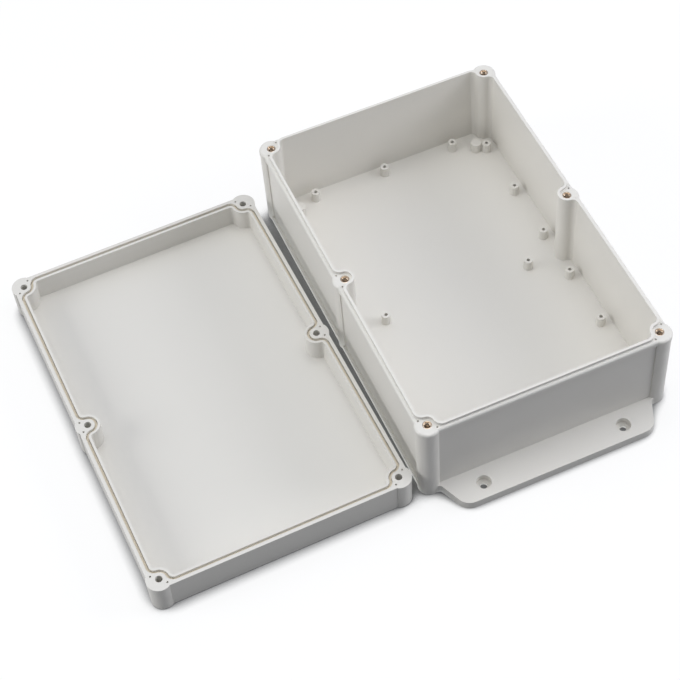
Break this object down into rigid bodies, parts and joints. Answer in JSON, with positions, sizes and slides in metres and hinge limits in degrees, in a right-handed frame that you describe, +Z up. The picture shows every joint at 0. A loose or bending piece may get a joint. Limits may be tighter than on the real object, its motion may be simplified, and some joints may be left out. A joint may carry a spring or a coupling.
{
  "type": "flanged plastic housing",
  "caption": "Rectangular moulded plastic housing with wall flanges, shown open: a deep base with standoffs and brass inserts, and its shallow lid beside it, rim up.",
  "frame": {"origin": "middle of the base's underside, which is also the middle of the four wall-mounting holes", "axes": "+Z up out of the open base, +Y along the long side to the back flange, +X across; the lid lies on the -X side with its rim up"},
  "size_m": [0.3279, 0.275, 0.064],
  "materials": {
    "base_plastic": "fine satin, light warm grey",
    "lid_plastic": "fine satin, light warm grey",
    "sealing_cord": "matte, warm beige",
    "insert_brass": "turned brass"
  },
  "bodies": {
    "root": {"base_shell": "base_plastic", "lid_shell": "lid_plastic", "lid_gasket": "sealing_cord", "insert_front_left": "insert_brass", "insert_front_right": "insert_brass", "insert_middle_left": "insert_brass", "insert_middle_right": "insert_brass", "insert_back_left": "insert_brass", "insert_back_right": "insert_brass"}
  },
  "joints": []
}
